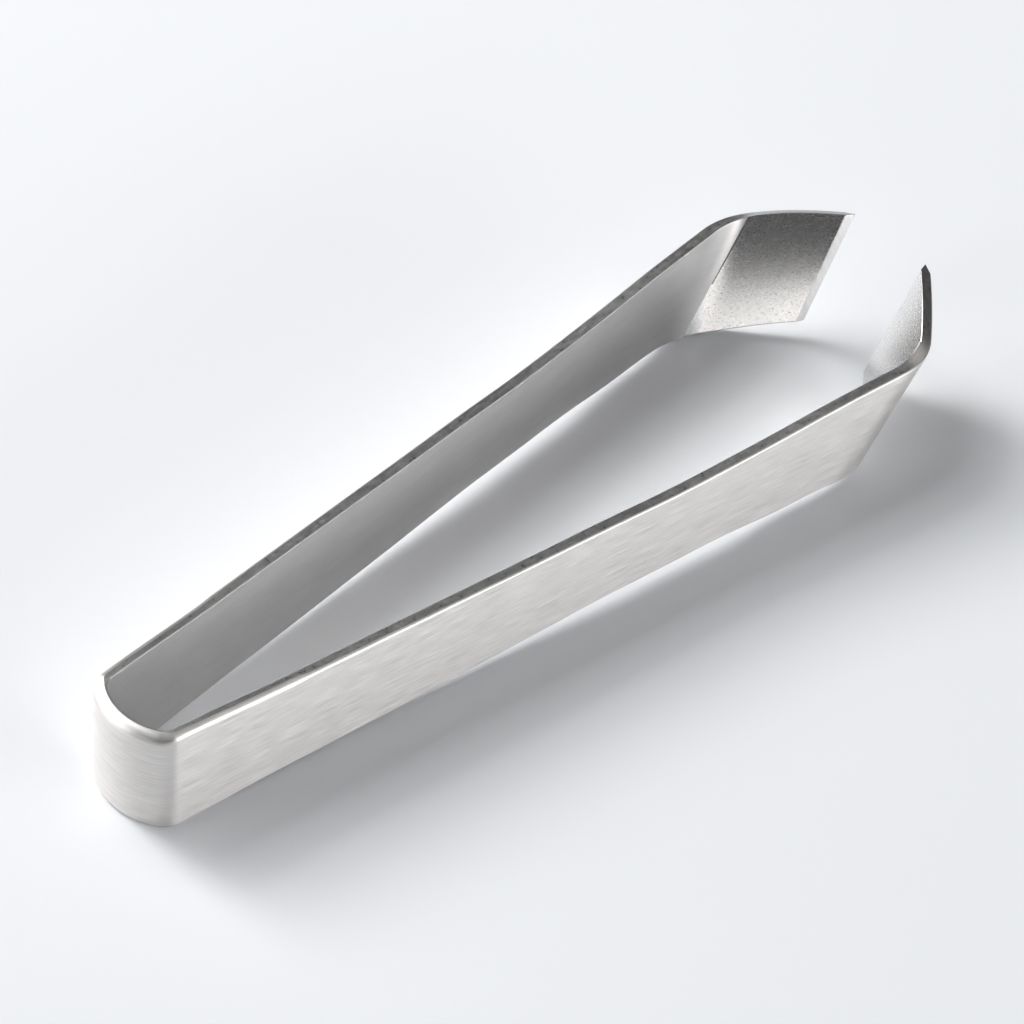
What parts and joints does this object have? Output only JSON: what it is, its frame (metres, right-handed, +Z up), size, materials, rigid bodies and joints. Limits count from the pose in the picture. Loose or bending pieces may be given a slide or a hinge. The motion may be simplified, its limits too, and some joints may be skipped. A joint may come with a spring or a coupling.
{
  "type": "sprung tweezer tongs",
  "caption": "Flat sprung tongs bent from one steel strip: an arched heel, two straight tapering arms and inward-folded jaws ground to slanted, flush-meeting knife edges.",
  "frame": {"origin": "middle of the overall box, on the surface the tongs lie on", "axes": "+X from the heel to the tips, +Y to the left arm, +Z up across the width of the strip; the tongs lie on the edges of the strip"},
  "size_m": [0.12, 0.0332, 0.0146],
  "materials": {
    "brushed_strip": "stainless steel brushed lengthwise, satin",
    "ground_jaw": "stainless steel, fine non-directional ground gripping faces with brighter ground bevels at the tip"
  },
  "bodies": {
    "heel": {"heel_spring": "brushed_strip"},
    "left_arm": {"left_arm": "brushed_strip", "left_jaw": "ground_jaw"},
    "right_arm": {"right_arm": "brushed_strip", "right_jaw": "ground_jaw"}
  },
  "joints": [
    {"name": "left_squeeze", "type": "hinge", "parent": "heel", "child": "left_arm", "pos_m": [-0.05654, 0.00505, 0.007], "axis": [0, 0, -1], "range_deg": [0, 2.82], "stiffness_Nm_per_rad": 20},
    {"name": "right_squeeze", "type": "hinge", "parent": "heel", "child": "right_arm", "pos_m": [-0.05654, -0.00505, 0.007], "axis": [0, 0, 1], "range_deg": [0, 2.82], "stiffness_Nm_per_rad": 20}
  ],
  "couplings": [
    {"joint": "right_squeeze", "follows": "left_squeeze", "ratio": 1}
  ]
}
